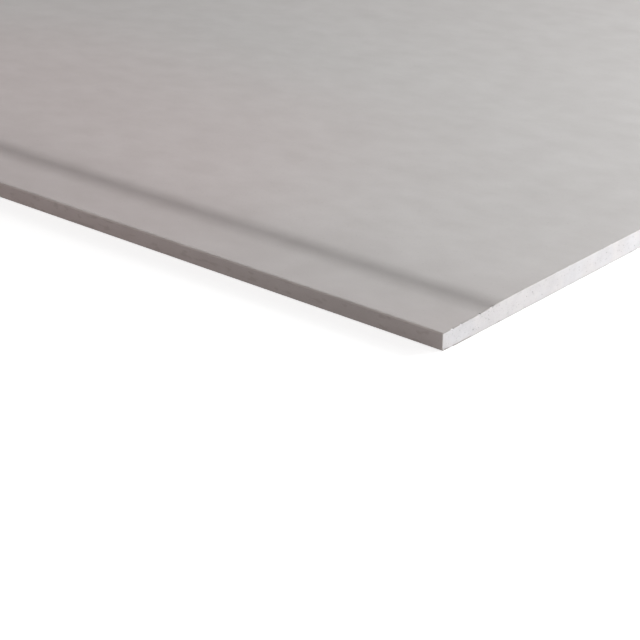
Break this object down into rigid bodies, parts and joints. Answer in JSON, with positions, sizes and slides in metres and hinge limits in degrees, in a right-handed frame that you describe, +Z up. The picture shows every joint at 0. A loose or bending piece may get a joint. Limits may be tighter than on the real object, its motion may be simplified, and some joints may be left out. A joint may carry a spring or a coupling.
{
  "type": "drywall sheet",
  "caption": "Paper-faced gypsum board, lying face up, with a recess for joint tape along each long edge, wrapped edges and square-cut ends.",
  "frame": {"origin": "middle of the outside of the back paper, on the floor that the sheet lies on", "axes": "+X along the sheet's length, +Y across its width, +Z up out of its face"},
  "size_m": [2.4384, 1.2192, 0.0127],
  "materials": {
    "gypsum": "cut, dry and finely pitted",
    "face_paper": "smooth matt grey paper",
    "back_paper": "rough matt recycled paper"
  },
  "bodies": {
    "root": {"gypsum_core": "gypsum", "face_paper": "face_paper", "back_paper": "back_paper"}
  },
  "joints": []
}
